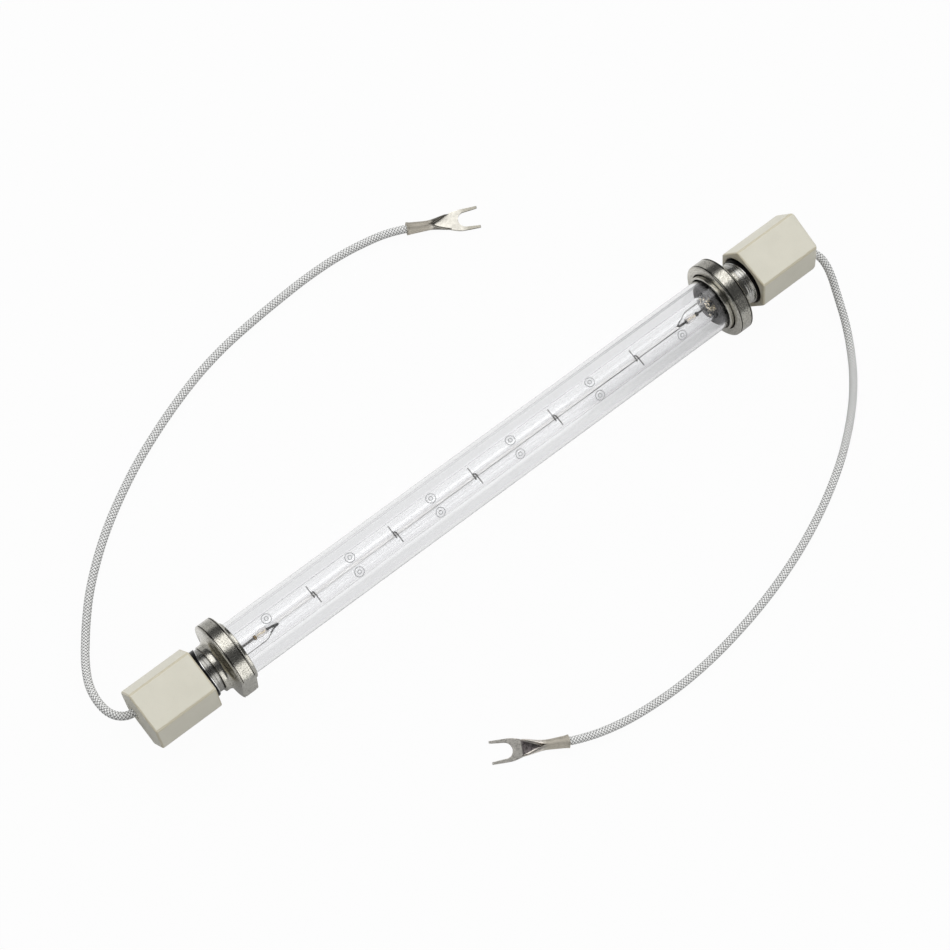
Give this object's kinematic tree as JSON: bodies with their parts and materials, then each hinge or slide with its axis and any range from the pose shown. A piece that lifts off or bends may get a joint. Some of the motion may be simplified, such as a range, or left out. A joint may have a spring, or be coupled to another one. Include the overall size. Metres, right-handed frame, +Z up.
{
  "type": "tubular halogen lamp",
  "caption": "Clear double-walled tubular halogen lamp with metal end caps, ceramic end blocks and braided cables that end in fork terminals.",
  "frame": {"origin": "middle of the lamp without its cables, on the surface that its two flanges rest on", "axes": "+X along the lamp towards the end without the key flat, +Z up from the surface, +Y across the lamp"},
  "size_m": [0.3079, 0.1984, 0.0294],
  "materials": {
    "clear_glass": "clear, polished",
    "quartz_glass": "clear, fire polished",
    "satin_nickel": "satin, turned",
    "polished_steel": "polished, turned",
    "dark_metal": "dull",
    "cream_ceramic": "unglazed, smooth",
    "tungsten": "drawn wire, coiled",
    "support_wire": "drawn wire",
    "lead_wire": "drawn wire",
    "brown_bead": "tarnished",
    "glass_braid": "braided glass fibre",
    "tinned_copper": "matte tin"
  },
  "bodies": {
    "root": {"outer_tube": "clear_glass", "inner_tube": "quartz_glass", "filament": "tungsten", "support_1": "support_wire", "support_2": "support_wire", "support_3": "support_wire", "support_4": "support_wire", "support_5": "support_wire", "left_end_cap": "satin_nickel", "left_glass_collar": "satin_nickel", "left_centring_plug": "dark_metal", "left_neck_sleeve": "polished_steel", "left_mouth_ring": "polished_steel", "left_ceramic_block": "cream_ceramic", "left_lead_rod": "lead_wire", "left_dark_bead": "brown_bead", "left_glass_bead": "quartz_glass", "left_filament_crimp": "dark_metal", "left_side_wire": "lead_wire", "left_end_seal": "quartz_glass", "left_lead_bush": "cream_ceramic", "left_cable_joint": "tinned_copper", "left_cable": "glass_braid", "left_fork_terminal": "tinned_copper", "right_end_cap": "satin_nickel", "right_glass_collar": "satin_nickel", "right_centring_plug": "dark_metal", "right_neck_sleeve": "polished_steel", "right_mouth_ring": "polished_steel", "right_ceramic_block": "cream_ceramic", "right_lead_rod": "lead_wire", "right_dark_bead": "brown_bead", "right_glass_bead": "quartz_glass", "right_filament_crimp": "dark_metal", "right_side_wire": "lead_wire", "right_end_seal": "quartz_glass", "right_lead_bush": "cream_ceramic", "right_cable_joint": "tinned_copper", "right_cable": "glass_braid", "right_fork_terminal": "tinned_copper"}
  },
  "joints": []
}
